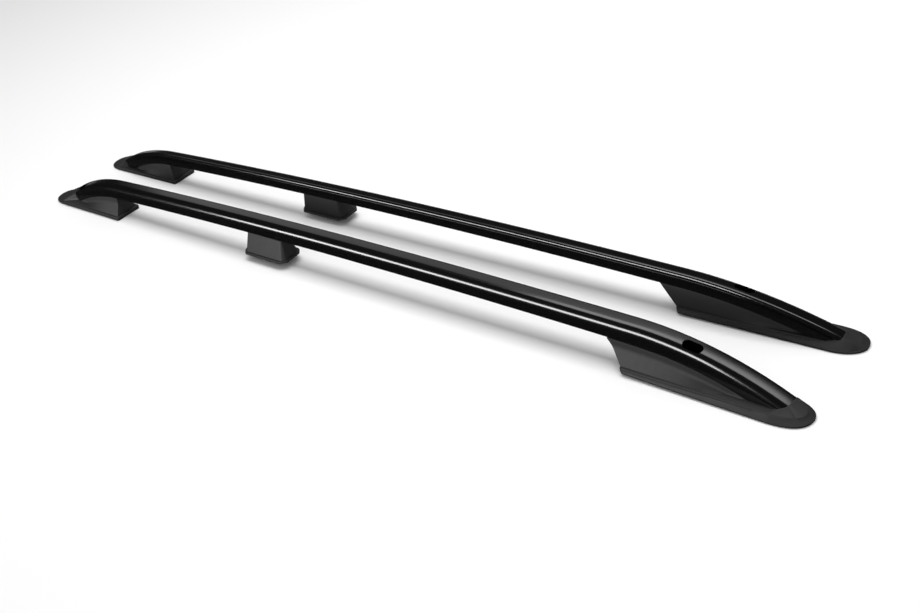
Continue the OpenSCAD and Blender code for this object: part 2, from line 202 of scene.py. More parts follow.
class Station:
    """A place on the rail's line: a point and the turn of the section there."""

    def __init__(self, point, turn):
        self.point = np.asarray(point, float)
        self.turn = np.asarray(turn, float)

    def bend(self, radius, deg, tilt):
        m = self.turn @ roll(tilt)
        a = math.radians(deg)
        step = m @ np.array([radius * math.sin(a), 0.0, -radius * (1 - math.cos(a))])
        return Station(self.point + step, m @ pitch(deg) @ roll(-tilt))

    def place(self, across, up):
        return self.point + self.turn @ np.array([0.0, across, up])

    @property
    def x(self):
        return float(self.point[0])


FRONT_TILT, REAR_TILT = 13.0, 5.0
FRONT_TURN, REAR_TURN = 24.5, 36.0
REAR_BEND_END, REAR_YAW, YAW_RUN, RUN_STEP = 24.0, 8.0, 40.0, 4.0
FRONT_BEND_LENGTH, REAR_BEND_LENGTH = 275.0, 265.0
APEX_SHARE, MID_SHARE = 0.535, 0.408
SLOT_LENGTH, SLOT_WIDTH, SLOT_SIDE = 31.0, 15.0, -7.0
REAR_SCREWS, FRONT_SCREWS, SCREW_PITCH = (34.0, 86.0), (15.0, 58.0), 44.0
FRONT_SLOT_DEG, REAR_SLOT_DEG = 9.4, 20.6
CROWN_RINGS = 90
SEARCH_MARGIN, SEARCH_STEPS = 3, 40


class Line:
    """The rail's line in millimetres, from the rear tip at x = 0."""

    def __init__(self, settings):
        self.s = settings
        self.apex_x = APEX_SHARE * settings.length
        self.base_y = settings.spacing / 2
        self.apex = Station((self.apex_x, self.base_y, settings.clearance), np.eye(3))
        ahead = settings.length - FRONT_BEND_LENGTH - self.apex_x
        behind = self.apex_x - REAR_BEND_LENGTH
        self.crown_front = math.degrees(math.asin(ahead / settings.crown_radius))
        self.crown_rear = math.degrees(math.asin(behind / settings.crown_radius))

    def crown(self, deg):
        return self.apex.bend(self.s.crown_radius, deg, 0.0)

    def crown_at(self, x):
        return self.crown(math.degrees(math.asin((x - self.apex_x) / self.s.crown_radius)))

    def front(self, deg):
        return self.crown(self.crown_front).bend(self.s.front_radius, deg, FRONT_TILT)

    def rear(self, deg):
        """Bends down to REAR_BEND_END, then runs straight on and turns a little outward."""
        end = self.crown(-self.crown_rear).bend(self.s.rear_radius, -min(deg, REAR_BEND_END), REAR_TILT)
        left = self.s.rear_radius * math.radians(max(0.0, deg - REAR_BEND_END))
        gone, place = 0.0, end
        while left > 1e-9:
            step = min(RUN_STEP, left)
            turn = yaw(-REAR_YAW * min(1.0, (gone + step / 2) / YAW_RUN)) @ end.turn
            place = Station(place.point - step * turn[:, 0], turn)
            gone, left = gone + step, left - step
        return place

    def whole(self, per_degree):
        """Every station of the sweep, from the rear tip to the front end."""
        rear_n = int(REAR_TURN * per_degree)
        front_n = int(FRONT_TURN * per_degree)
        stations = [self.rear(REAR_TURN * (1 - i / rear_n)) for i in range(rear_n)]
        span = self.crown_rear + self.crown_front
        stations += [self.crown(-self.crown_rear + span * i / CROWN_RINGS) for i in range(CROWN_RINGS)]
        stations += [self.front(FRONT_TURN * i / front_n) for i in range(front_n + 1)]
        return stations

    def front_slot(self):
        return self.front(FRONT_SLOT_DEG).place(SLOT_SIDE, 0.0)

    def rear_slot(self):
        return self.rear(REAR_SLOT_DEG).place(SLOT_SIDE, 0.0)

    def rear_screws(self):
        return [self.at_x(foot_settings().rear_length - d) for d in REAR_SCREWS]

    def mid_screws(self):
        x = MID_SHARE * self.s.length
        return [self.crown_at(x + k * SCREW_PITCH / 2) for k in (-1, 1)]

    def front_screws(self):
        return [self.at_x(self.s.length - foot_settings().front_length + d) for d in FRONT_SCREWS]

    def screw_stations(self):
        return self.rear_screws() + self.mid_screws() + self.front_screws()

    def at_x(self, x):
        """The station whose point has this x."""
        if x < REAR_BEND_LENGTH:
            lo, hi, walk = 0.0, REAR_TURN + SEARCH_MARGIN, self.rear
        elif x > self.s.length - FRONT_BEND_LENGTH:
            lo, hi, walk = 0.0, FRONT_TURN + SEARCH_MARGIN, self.front
        else:
            return self.crown_at(x)
        falling = x < REAR_BEND_LENGTH
        for _ in range(SEARCH_STEPS):
            mid = (lo + hi) / 2
            if (walk(mid).x > x) == falling:
                lo = mid
            else:
                hi = mid
        return walk((lo + hi) / 2)


# The tube's section: outward is positive, up is positive, both from the foot's middle

SHIFT = -2.0
CORNER = (5.5 + SHIFT, 3.0, 3.0)
CREASE = (-6.3 + SHIFT, 14.7, 14.8)
SHOULDER = (-16.3 + SHIFT, 25.8, 5.0)
TOP_RADIUS = 150.0
INNER_FACE = -20.8 + SHIFT
GROOVE_DEPTH = 1.5
LIP_HEIGHT, GROOVE_HEIGHT, HEEL_HEIGHT = 24.5, 21.7, 6.2
FLAT_IN = -12.0 + SHIFT
OUTER_FACE = CREASE[0] + CREASE[2]
SCREW_SIDE = FLAT_IN / 2


def arc(centre, radius, a0, a1, n):
    c = np.asarray(centre, float)
    return [
        tuple(c + radius * np.array([math.cos(a), math.sin(a)]))
        for a in (math.radians(a0 + (a1 - a0) * i / n) for i in range(n + 1))
    ]


def top_circle():
    """Centre of the wide arc of the top, and the angles where it meets its neighbours."""
    a, b = np.array(CREASE[:2]), np.array(SHOULDER[:2])
    gap = np.linalg.norm(b - a)
    ra, rb = TOP_RADIUS - CREASE[2], TOP_RADIUS - SHOULDER[2]
    ahead = (ra * ra - rb * rb + gap * gap) / (2 * gap)
    away = math.sqrt(ra * ra - ahead * ahead)
    u = (b - a) / gap
    centre = a + u * ahead - np.array([u[1], -u[0]]) * away
    start = math.degrees(math.atan2(*(a - centre)[::-1]))
    end = math.degrees(math.atan2(*(b - centre)[::-1]))
    return centre, start, end


def rounded_side(inset):
    centre, start, end = top_circle()
    points = arc(CORNER[:2], CORNER[2] - inset, -90, 0, 6)
    points += arc(CREASE[:2], CREASE[2] - inset, 0, start, 24)
    points += arc(centre, TOP_RADIUS - inset, start, end, 6)[1:-1]
    points += arc(SHOULDER[:2], SHOULDER[2] - inset, end, 180, 14)
    return points


def rounded_corner(p, a, b, reach, n):
    """Points of a curve that starts and ends at this reach from the corner p, toward a and toward b."""
    u, v = (a - p) / np.linalg.norm(a - p), (b - p) / np.linalg.norm(b - p)
    out = []
    for i in range(n + 1):
        t = i / n
        out.append(tuple((1 - t) ** 2 * (p + u * reach) + 2 * t * (1 - t) * p + t**2 * (p + v * reach)))
    return out


def filleted(points, radii, n=3):
    """Rounds the corners of an open run of points, each by its own radius."""
    out = [points[0]]
    for k in range(1, len(points) - 1):
        p, a, b = (np.asarray(points[j], float) for j in (k, k - 1, k + 1))
        if radii[k - 1] <= 0:
            out.append(tuple(p))
            continue
        reach = min(radii[k - 1], 0.45 * np.linalg.norm(a - p), 0.45 * np.linalg.norm(b - p))
        out += rounded_corner(p, a, b, reach, n)
    out.append(points[-1])
    return out


def outer_section():
    side = rounded_side(0.0)
    rest = filleted(
        [
            side[-1],
            (INNER_FACE - 0.5, LIP_HEIGHT),
            (INNER_FACE + GROOVE_DEPTH, LIP_HEIGHT),
            (INNER_FACE + GROOVE_DEPTH, GROOVE_HEIGHT),
            (INNER_FACE, GROOVE_HEIGHT),
            (INNER_FACE, HEEL_HEIGHT),
            (FLAT_IN, 0.0),
            side[0],
        ],
        [0.6, 0.3, 0.3, 0.6, 1.5, 1.5],
    )
    return side + rest[1:-1]


def inner_section(wall):
    bare = INNER_FACE + GROOVE_DEPTH + wall
    side = rounded_side(wall)
    return side + [(bare, LIP_HEIGHT), (bare, HEEL_HEIGHT + 1), (FLAT_IN + 0.8, wall)]


# Meshes


class Builder:
    """Collects vertices and faces in the rail's millimetres and turns them into an object."""

    def __init__(self):
        self.points, self.faces = [], []

    def ring(self, points):
        start = len(self.points)
        self.points.extend(points)
        return list(range(start, start + len(points)))

    def face(self, loop):
        self.faces.append(tuple(loop))

    def loft(self, rings):
        """Joins each ring to the next by a band of four-sided faces."""
        for low, high in zip(rings, rings[1:]):
            for j in range(len(low)):
                k = (j + 1) % len(low)
                self.face((low[j], low[k], high[k], high[j]))

    def capped(self, rings):
        """Lofts the rings and closes both ends."""
        self.loft(rings)
        self.face(rings[0])
        self.face(rings[-1])
        return self

    def done(self, name, finish, sharp=SHARP_DEG):
        half = rail_settings().length / 2
        mesh = bpy.data.meshes.new(name)
        mesh.from_pydata([((p[0] - half) * MM, p[1] * MM, p[2] * MM) for p in self.points], [], self.faces)
        mesh.materials.append(finish)
        bm = bmesh.new()
        bm.from_mesh(mesh)
        bmesh.ops.remove_doubles(bm, verts=bm.verts, dist=1e-7)
        bmesh.ops.recalc_face_normals(bm, faces=bm.faces)
        bm.to_mesh(mesh)
        bm.free()
        mesh.shade_smooth()
        mesh.set_sharp_from_angle(angle=math.radians(sharp))
        obj = bpy.data.objects.new(name, mesh)
        bpy.context.scene.collection.objects.link(obj)
        return obj


def apply_modifiers(obj):
    bpy.context.view_layer.update()
    graph = bpy.context.evaluated_depsgraph_get()
    mesh = bpy.data.meshes.new_from_object(obj.evaluated_get(graph))
    obj.modifiers.clear()
    old = obj.data
    obj.data = mesh
    mesh.name = old.name
    bpy.data.meshes.remove(old)


def combine(target, other, operation="UNION", material_mode="INDEX"):
    """Joins the other object to the target, or takes it away, and deletes it."""
    mod = target.modifiers.new("Combine", "BOOLEAN")
    mod.operation = operation
    mod.solver = "EXACT"
    mod.material_mode = material_mode
    mod.object = other
    apply_modifiers(target)
    bpy.data.objects.remove(other, do_unlink=True)


def cut(target, tool):
    """Takes the tool away; the cut faces keep the tool's material."""
    combine(target, tool, "DIFFERENCE", "TRANSFER")


def oval_points(centre, length, width, n=14):
    straight, r = (length - width) / 2, width / 2
    points = []
    for sign in (1, -1):
        for t in np.linspace(-sign * math.pi / 2, sign * math.pi / 2, n):
            points.append((centre[0] + sign * (straight + r * math.cos(t)), centre[1] + r * math.sin(t)))
    return points


def prism_tool(outline, z0, z1, finish):
    b = Builder()
    rings = [b.ring([(x, y, z) for x, y in outline]) for z in (z0, z1)]
    return b.capped(rings).done("tool", finish)


def box_tool(x0, x1, y0, y1, z0, z1, finish):
    return prism_tool([(x0, y0), (x1, y0), (x1, y1), (x0, y1)], z0, z1, finish)


def cylinder_tool(station, across, radius, low, high, n=32):
    """A cylinder along the station's up direction, between two heights over the tube's underside."""
    b = Builder()
    rings = []
    for up in (low, high):
        ring = []
        for t in np.linspace(0, 2 * math.pi, n, endpoint=False):
            local = np.array([radius * math.cos(t), across + radius * math.sin(t), up])
            ring.append(tuple(station.point + station.turn @ local))
        rings.append(b.ring(ring))
    return b.capped(rings).done("tool", material("foot_plastic"))


def upright_tool(p, radius, low, high):
    return cylinder_tool(Station((p[0], p[1], 0.0), np.eye(3)), 0.0, radius, low, high, 40)


# Materials


class Graph:
    """Adds nodes to a tree, with their inputs given as values or as sockets."""

    def __init__(self, tree):
        self.tree = tree

    def add(self, kind, inputs=None, **settings):
        node = self.tree.nodes.new(kind)
        for key, value in settings.items():
            setattr(node, key, value)
        for key, value in (inputs or {}).items():
            if isinstance(value, bpy.types.NodeSocket):
                self.link(value, node.inputs[key])
            else:
                node.inputs[key].default_value = value
        return node

    def link(self, source, target):
        self.tree.links.new(source, target)


class Value:
    """A socket of a shader tree, with arithmetic that adds the nodes for it."""

    def __init__(self, graph, socket):
        self.graph, self.socket = graph, socket

    def _join(self, operation, first, second):
        pair = {k: v.socket if isinstance(v, Value) else v for k, v in enumerate((first, second))}
        return Value(self.graph, self.graph.add("ShaderNodeMath", pair, operation=operation).outputs[0])

    def __add__(self, other):
        return self._join("ADD", self, other)

    def __radd__(self, other):
        return self._join("ADD", other, self)

    def __sub__(self, other):
        return self._join("SUBTRACT", self, other)

    def __rsub__(self, other):
        return self._join("SUBTRACT", other, self)

    def __mul__(self, other):
        return self._join("MULTIPLY", self, other)

    def __rmul__(self, other):
        return self._join("MULTIPLY", other, self)


class Shader:
    """A Principled material whose varying inputs come from noise in object coordinates."""

    def __init__(self, slot, roughness, metallic=0.0, specular=0.5):
        self.slot, self.roughness = slot, roughness
        self.material = bpy.data.materials.new(f"{slot}_look")
        self.material.use_nodes = True
        self.graph = Graph(self.material.node_tree)
        self.surface = self.graph.tree.nodes["Principled BSDF"]
        self.surface.inputs["Base Color"].default_value = (*getattr(look_settings(), slot), 1.0)
        self.surface.inputs["Roughness"].default_value = roughness
        self.surface.inputs["Metallic"].default_value = metallic
        self.surface.inputs["Specular IOR Level"].default_value = specular
        self.coords = self.graph.add("ShaderNodeTexCoord").outputs["Object"]

    def noise(self, scale, detail=4.0):
        inputs = {"Vector": self.coords, "Scale": scale, "Detail": detail}
        return Value(self.graph, self.graph.add("ShaderNodeTexNoise", inputs).outputs["Fac"])

    def vary_roughness(self, spread, scale):
        varied = self.noise(scale) * spread + (self.roughness - spread / 2)
        self.graph.link(varied.socket, self.surface.inputs["Roughness"])

    def bump(self, height, strength, distance):
        inputs = {"Height": height.socket, "Strength": strength, "Distance": distance}
        node = self.graph.add("ShaderNodeBump", inputs)
        self.graph.link(node.outputs["Normal"], self.surface.inputs["Normal"])


MATERIALS = {}


def make_materials():
    paint = Shader("tube_paint", 0.17)
    paint.vary_roughness(0.02, 60.0)
    foot = Shader("foot_plastic", 0.55, specular=0.2)
    foot.vary_roughness(0.08, 90.0)
    foot.bump(foot.noise(2600.0, 2.0), 0.35, 0.0002)
    rubber = Shader("gasket_rubber", 0.75)
    rubber.vary_roughness(0.1, 140.0)
    zinc = Shader("zinc_steel", 0.34, metallic=0.8)
    zinc.vary_roughness(0.12, 300.0)
    insert = Shader("plated_insert", 0.36, metallic=1.0)
    insert.vary_roughness(0.1, 300.0)
    for shader in (paint, foot, rubber, zinc, insert):
        MATERIALS[shader.slot] = shader.material


def material(slot):
    return MATERIALS[slot]


# Tubes

CUT_BACK, CUT_REACH, CUT_PAST = 47.3, 60.0, 80
SLOT_RISE, BOLT_HOLE, BOLT_HOLE_TOP = 6, 5.5, 45
PEDESTAL_HEIGHT, PEDESTAL_HOLE, TUBE_SCREW_HOLE = 4.0, 9.6, 4.5
CUT_LOW, CUT_HIGH = -90, 60


def build_tubes():
    s = rail_settings()
    line = Line(s)
    foot = Foot(line)
    stations = line.whole(s.stations)
    paint = material("tube_paint")

    def sweep(section):
        b = Builder()
        rings = [b.ring([st.place(*p) for p in section]) for st in stations]
        return b.capped(rings).done("tube", paint)

    tube = sweep(outer_section())
    cut(tube, sweep(inner_section(s.wall)))
    y0, y1 = line.base_y - CUT_REACH, line.base_y + CUT_REACH
    rear_end, front_end = REAR_BEND_LENGTH - CUT_BACK, s.length - FRONT_BEND_LENGTH + CUT_BACK
    cut(tube, box_tool(-CUT_PAST, rear_end, y0, y1, CUT_LOW, foot.rear_top, paint))
    cut(tube, box_tool(front_end, s.length + CUT_PAST, y0, y1, CUT_LOW, foot.front_top, paint))
    front, rear, rear_base = line.front_slot(), line.rear_slot(), foot.rear_top + PEDESTAL_HEIGHT
    for p, low, radius, high in (
        (front, front[2] + SLOT_RISE, BOLT_HOLE, BOLT_HOLE_TOP),
        (rear, rear_base, PEDESTAL_HOLE, rear_base + 2),
    ):
        cut(tube, prism_tool(oval_points(p, SLOT_LENGTH, SLOT_WIDTH), low, low + CUT_HIGH, paint))
        cut(tube, upright_tool(p, radius, 0, high))
    for station in line.screw_stations():
        cut(tube, cylinder_tool(station, SCREW_SIDE, TUBE_SCREW_HOLE, -3, 5))
    combine(tube, rear_tip(foot).done("tip", material("foot_plastic")))
    settle(tube, "rail_tube", "tube")


def rear_tip(foot):
    """The tube's flattened end, which spreads to the blunt end of the rear foot."""
    bm = bmesh.new()
    low = foot.rear_top + 0.05
    ring = rounded_side(0.3) + [(INNER_FACE + 2.0, LIP_HEIGHT), (INNER_FACE + 2.0, HEEL_HEIGHT)]
    for deg in (REAR_BEND_END - 1.0, REAR_BEND_END + 2.0):
        station = foot.line.rear(deg)
        for across, up in ring:
            q = station.place(across, up)
            bm.verts.new((q[0], q[1], max(q[2], low)))
    for x, y in foot.rear_top_outline(2.2):
        if x < REAR_TIP - 16.0:
            bm.verts.new((x, y, low))
            bm.verts.new((x, y, low + 0.6))
    return hull_of(bm)


# Feet

REAR_TIP, NOSE_LENGTH, NOSE_SHIFT = 80.0, 55.0, 3.0
REAR_END, REAR_SLOPE, REAR_BLUNT = 15.0, 16.0, 0.5
FRONT_WIDTH, FRONT_FLARE, FRONT_FLANGE = 57.0, 6.0, 7.5
REAR_FLANGE, LEDGE, FOOT_WALL = 5.0, 4.5, 3.0
LIFT_LENGTH, LIFT_DEG = 195.0, 2.2
LEAN_BEFORE, LEAN_RUN = 60.0, 80.0
EDGE_RADIUS, RIB, CAVITY_DROP, PLACE_STEP = 1.5, 2.2, 4.2, 4.0
REAR_RIBS, FRONT_RIBS = (0.56, 0.77), (0.34, 0.56, 0.72)
REAR_PEDESTAL, FRONT_PEDESTAL, SLEEVE_HOLE = 9.4, 10.5, 7.0
BOSS_LENGTH, BOSS_RADIUS = 14.0, 8.0
MID_LIP, MID_CORNER, MID_RIB_PITCH = 4.5, 10, 36
TOE_DROP, NOSE_LEAN = 1.0, 9.0
NOSE_CURVE_OUT, NOSE_CURVE_IN, NOSE_TAPER = 0.85, 1.1, 5.0
CAP_TURNS = (22.75, 23.5, FRONT_TURN)
RAKE, REAR_LEAN = math.tan(math.radians(43)), math.tan(math.radians(12))


class Foot:
    """Shared measures of the two end feet, in the rail's millimetres."""

    def __init__(self, line):
        self.line, self.s, self.f = line, rail_settings(), foot_settings()
        self.y = line.base_y
        self.rear_top = self.f.gasket + REAR_FLANGE
        self.front_top = self.f.gasket + FRONT_FLANGE
        self.front_x = self.s.length - self.f.front_length
        self.nose_x = self.s.length - NOSE_LENGTH
        self.nose_half = (FRONT_WIDTH + FRONT_FLARE) / 2
        self.lift_x = self.s.length - LIFT_LENGTH

    def lift(self, x):
        return max(0.0, (self.lift_x - x) * math.tan(math.radians(LIFT_DEG)))

    def toe(self, x):
        """How far the flange's top drops toward the nose's tip."""
        return TOE_DROP * max(0.0, (x - self.nose_x) / NOSE_LENGTH)

    def front_lean(self, x):
        """How far the flange's side leans in: nothing along the foot, most round the nose."""
        k = min(1.0, max(0.0, (x - self.nose_x + LEAN_BEFORE) / LEAN_RUN))
        return NOSE_LEAN * k * k * (3 - 2 * k)

    def front_ledge(self, x):
        return max(LEDGE, self.front_lean(x) + 0.8)

    def rear_half(self, x):
        """Half of the rear foot's width at its top edge."""
        half = self.f.rear_width / 2
        if x > REAR_TIP:
            return half
        share = (REAR_TIP - x) / (REAR_TIP - REAR_END - REAR_SLOPE)
        return half * math.sqrt(max(0.0, 1 - share ** (2 / REAR_BLUNT)))

    def front_half(self, x):
        share = (x - self.front_x) / (self.nose_x - self.front_x)
        return FRONT_WIDTH / 2 + FRONT_FLARE / 2 * share

    def rear_outline(self, inset, corner=4.0, back=0.0):
        half, end = self.f.rear_width / 2 - inset, self.f.rear_length - inset
        r = max(corner - inset, 0.6)
        quarter, back_quarter = np.linspace(0, math.pi / 2, 6), np.linspace(math.pi / 2, 0, 6)
        points = [(end - r + r * math.sin(t), half - r + r * math.cos(t)) for t in back_quarter]
        for t in np.linspace(0, math.pi, 61):
            reach = REAR_TIP - REAR_END - inset - back
            points.append((REAR_TIP - reach * max(0.0, math.sin(t)) ** REAR_BLUNT, half * math.cos(t)))
        points += [(end - r + r * math.sin(t), -half + r - r * math.cos(t)) for t in quarter]
        return [(x, self.y + y) for x, y in points]

    def rear_top_outline(self, inset):
        return self.rear_outline(inset, back=REAR_SLOPE)

    def front_top_outline(self, inset):
        """The front outline, drawn in round the nose by the lean of its side."""
        here = [np.array(q) for q in self.front_outline(inset)]
        inward = [np.array(q) for q in self.front_outline(inset + 1.0)]
        return [tuple(p + (q - p) * self.front_lean(p[0])) for p, q in zip(here, inward)]

    def front_outline(self, inset, corner=5.0):
        half, start = FRONT_WIDTH / 2 - inset, self.front_x + inset
        r = max(corner - inset, 0.6)
        quarter = np.linspace(0, math.pi / 2, 6)
        points = [(start + r - r * math.sin(t), half - r + r * math.cos(t)) for t in quarter]
        points += [(start + r - r * math.cos(t), -half + r - r * math.sin(t)) for t in quarter]
        for t in np.linspace(-math.pi / 2, math.pi / 2, 49):
            c, s = math.cos(t), math.sin(t)
            x = self.nose_x + (NOSE_LENGTH - inset) * abs(c) ** 0.8
            curve, taper = (NOSE_CURVE_OUT, 0.0) if s > 0 else (NOSE_CURVE_IN, NOSE_TAPER)
            y = NOSE_SHIFT + (self.nose_half - taper - inset) * math.copysign(abs(s) ** curve, s)
            points.append((x, y))
        return [(x, self.y + y) for x, y in points]


def rounded_slab(outline, top_outline, bottom, top, foot_edge=0.6):
    """Closed slab between two outlines, each taken at several insets; bottom and top are functions of x."""
    b, radius = Builder(), EDGE_RADIUS
    levels = [(outline, foot_edge, bottom, 0.0), (outline, 0.0, bottom, foot_edge)]
    for t in np.linspace(0, math.pi / 2, 5):
        levels.append((top_outline, radius * (1 - math.cos(t)), top, -radius + radius * math.sin(t)))
    levels.append((top_outline, radius + 0.5, top, 0.0))
    rings = []
    for shape, inset, level, rise in levels:
        rings.append(b.ring([(x, y, level(x) + rise) for x, y in shape(inset)]))
    return b.capped(rings)


def wall_profile(station, foot_y, half, middle, floor, rim, inset, drop):
    """Points of one foot section, from the outer wall's bottom over the top to the inner wall's bottom."""
    low = floor + 0.5
    high = foot_y + middle + half - inset
    near = foot_y + middle - half + inset

    def at(across, up, limit_out=None, limit_in=None, least=0.0):
        p = station.place(across, up)
        y, z = p[1], max(p[2], low + least)
        if limit_out is not None:
            y = min(y, high - limit_out)
        if limit_in is not None:
            y = max(y, near + limit_in)
        return (y, z)

    return [
        (high, floor),
        at(OUTER_FACE + 2.8 - inset, rim - 10, limit_out=1.0),
        at(OUTER_FACE + 0.8 - inset, rim - drop, limit_out=2.0, least=0.3),
        at(OUTER_FACE - 1.3 - inset, rim - drop, limit_out=3.0, least=0.3),
        at(CORNER[0] + 1.0 - inset, 1.2 - drop, limit_out=4.0, least=0.25),
        at(FLAT_IN + 0.5 + inset, 1.2 - drop, limit_in=4.0, least=0.25),
        at(FLAT_IN - 2.6 + inset, 3.0 - drop, limit_in=2.5, least=0.3),
        at(FLAT_IN - 5.5 + inset, -9, limit_in=1.0),
        (near, floor),
    ]


def wall_loft(places, finish, soft=True):
    """Lofts sections given as (x, profile, lean) into a closed solid; lean moves a point back as it rises."""
    b = Builder()
    rings = []
    for x, profile, lean in places:
        points = filleted(profile, [5.0, 0.7, 0.4, 0.4, 0.4, 0.4, 3.0] if soft else [0] * 7, 4)
        floor = profile[0][1]
        rings.append(b.ring([(x - (z - floor) * lean, y, z) for y, z in points]))
    return b.capped(rings).done("part", finish, WALL_SHARP_DEG)


def rear_places(foot, inset, floor, drop, x0, x1):
    places = []
    for x in np.arange(x0, x1 + 0.1, PLACE_STEP):
        st = foot.line.at_x(x)
        rim = 1.5 + 7 * max(0.0, 1 - x / foot.f.rear_length)
        fade = max(0.0, 1 - (x1 - x) / 60.0)
        profile = wall_profile(st, foot.y, foot.rear_half(x) - LEDGE, 0.0, floor, rim, inset, drop)
        places.append((x, profile, REAR_LEAN * fade))
    return places


def front_places(foot, inset, base, drop, x0, x1):
    places = []
    for x in np.arange(x0, x1 + 0.1, PLACE_STEP):
        st = foot.line.at_x(x)
        floor = base(x)
        share = max(0.0, (x - foot.front_x) / foot.f.front_length)
        taper = NOSE_TAPER / 2 * min(1.0, 1.25 * share)
        middle = NOSE_SHIFT * share + taper
        half = foot.front_half(x) - foot.front_ledge(x) - taper
        fade = max(0.0, 1 - (x - x0) / 70.0)
        profile = wall_profile(st, foot.y, half, middle, floor, 1.5, inset, drop)
        places.append((x, profile, RAKE * fade))
    return places


def hollow_out(body, cavity, ribs, bosses, keep=()):
    """Takes the cavity out of a foot, leaving ribs and screw bosses, then drills the screw holes."""
    plastic = material("foot_plastic")
    for box in ribs:
        combine(cavity, box_tool(*box, plastic), "DIFFERENCE")
    for st in bosses:
        combine(cavity, cylinder_tool(st, SCREW_SIDE, BOSS_RADIUS, -BOSS_LENGTH, 6.0), "DIFFERENCE")
    for tool in keep:
        combine(cavity, tool, "DIFFERENCE")
    combine(body, cavity, "DIFFERENCE")
    for st in bosses:
        for radius, low, high in ((3.25, -44.0, 6.0), (7.0, -44.0, -BOSS_LENGTH), (6.7, -1.25, 6.0)):
            combine(body, cylinder_tool(st, SCREW_SIDE, radius, low, high), "DIFFERENCE")


def mirrored(obj, name):
    mesh = obj.data.copy()
    bm = bmesh.new()
    bm.from_mesh(mesh)
    for v in bm.verts:
        v.co.y = -v.co.y
    bmesh.ops.reverse_faces(bm, faces=bm.faces)
    bm.to_mesh(mesh)
    bm.free()
    mesh.name = name
    other = bpy.data.objects.new(name, mesh)
    bpy.context.scene.collection.objects.link(other)
    return other


def settle(obj, name, node):
    """Names a finished left piece, makes its right twin and ties both to the frame."""
    obj.name = obj.data.name = f"left_{name}"
    twin = mirrored(obj, f"right_{name}")
    for side, piece in (("left", obj), ("right", twin)):
        piece.data.shade_smooth()
        piece.data.set_sharp_from_angle(angle=math.radians(SHARP_DEG))
        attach(piece, "root")
        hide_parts(f"{side}_{node}")


def rib_box(foot, x, height):
    """A thin wall across a foot, starting at x."""
    return (x, x + RIB, foot.y - CUT_REACH, foot.y + CUT_REACH, height, -CUT_LOW)


def spine_box(foot, x0, x1):
    """A thin wall along the middle of an end foot."""
    return (x0, x1, foot.y - RIB / 2, foot.y + RIB / 2, foot.f.gasket + 2, -CUT_LOW)


def build_rear_feet():
    line = Line(rail_settings())
    foot = Foot(line)
    plastic = material("foot_plastic")
    g, top, length = foot.f.gasket, foot.rear_top, foot.f.rear_length
    slab = rounded_slab(foot.rear_outline, foot.rear_top_outline, lambda x: g, lambda x: top)
    body = slab.done("rear", plastic)
    combine(body, wall_loft(rear_places(foot, 0.0, top - 1, 0.0, 36.0, length - 3.0), plastic))
    inside = rear_places(foot, FOOT_WALL, g - 1, CAVITY_DROP, 132.0, length - 8.0)
    cavity = wall_loft(inside, plastic, soft=False)
    ribs = [rib_box(foot, k * length, g + 2) for k in REAR_RIBS] + [spine_box(foot, 60, length + 20)]
    hollow_out(body, cavity, ribs, line.rear_screws())
    p = line.rear_slot()
    combine(body, upright_tool(p, REAR_PEDESTAL, g, top + PEDESTAL_HEIGHT))
    combine(body, upright_tool(p, SLEEVE_HOLE, -5, CUT_HIGH), "DIFFERENCE")
    settle(body, "rear_foot_shell", "rear_foot")


def nose_shape(foot):
    """The lip that wraps the tube's end and runs out to the front foot's tip."""
    bm = bmesh.new()
    low = foot.front_top - 1.0
    base = foot.f.gasket + 0.5
    grown = rounded_side(-1.0) + [(INNER_FACE - 1.2, LIP_HEIGHT), (INNER_FACE - 1.2, HEEL_HEIGHT)]
    for deg in CAP_TURNS:
        st = foot.line.front(deg)
        for across, up in grown:
            q = st.place(across, up)
            bm.verts.new((q[0], q[1], max(q[2], low)))
    levels = (
        (foot.front_outline(1.0), lambda x: base),
        (foot.front_top_outline(1.0), lambda x: foot.front_top - foot.toe(x) - 0.3),
    )
    for outline, level in levels:
        for x, y in outline:
            if x > foot.nose_x - 1:
                bm.verts.new((x, y, level(x)))
    return hull_of(bm)


def hull_of(bm):
    """The convex hull of a mesh's points, as a Builder."""
    bmesh.ops.convex_hull(bm, input=bm.verts)
    drop = [v for v in bm.verts if not v.link_faces]
    bmesh.ops.delete(bm, geom=drop, context="VERTS")
    b = Builder()
    b.points = [tuple(v.co) for v in bm.verts]
    bm.verts.index_update()
    for face in bm.faces:
        b.face([v.index for v in face.verts])
    bm.free()
    return b


def build_front_feet():
    line = Line(rail_settings())
    foot = Foot(line)
    plastic = material("foot_plastic")
    g, top, length = foot.f.gasket, foot.front_top, foot.f.front_length
    slab = rounded_slab(
        foot.front_outline,
        foot.front_top_outline,
        lambda x: g + foot.lift(x),
        lambda x: top + foot.lift(x) - foot.toe(x),
    )
    body = slab.done("front", plastic)
    start, end = foot.front_x + 1.0, foot.nose_x
    outside = front_places(foot, 0.0, lambda x: top - 1 + foot.lift(x), 0.0, start, end)
    combine(body, wall_loft(outside, plastic))
    inside = front_places(foot, FOOT_WALL, lambda x: g - 3 + foot.lift(x), CAVITY_DROP, start + 4.5, end - 20)
    cavity = wall_loft(inside, plastic, soft=False)
    ribs = [rib_box(foot, foot.front_x + k * length, g + 6) for k in FRONT_RIBS]
    ribs.append(spine_box(foot, foot.front_x - 60, foot.nose_x))
    p = line.front_slot()
    hollow_out(body, cavity, ribs, line.front_screws(), [upright_tool(p, FRONT_PEDESTAL, g, CUT_HIGH)])
    combine(body, upright_tool(p, SLEEVE_HOLE, -5, CUT_HIGH), "DIFFERENCE")
    combine(body, nose_shape(foot).done("nose", plastic))
    settle(body, "front_foot_shell", "front_foot")


